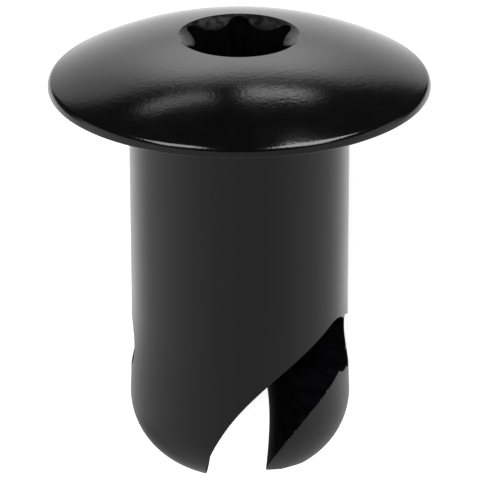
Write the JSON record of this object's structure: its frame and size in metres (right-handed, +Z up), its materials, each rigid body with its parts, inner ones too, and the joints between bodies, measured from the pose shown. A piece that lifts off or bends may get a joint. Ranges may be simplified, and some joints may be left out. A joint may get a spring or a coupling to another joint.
{
  "type": "quarter-turn fastener stud",
  "caption": "Black quarter-turn fastener stud with a low domed head, a six-lobe drive recess, a plain shank and a spiral cam slot across its round end.",
  "frame": {"origin": "on the ground under the middle of the lying stud's box", "axes": "+Z up from the ground the stud lies on, +Y along the ground towards the head, +X to the right when the head points away"},
  "size_m": [0.0192, 0.024, 0.0187],
  "materials": {
    "black_anodised": "black anodised, satin on the shank and glossy on the dome"
  },
  "bodies": {
    "root": {"stud": "black_anodised"}
  },
  "joints": []
}
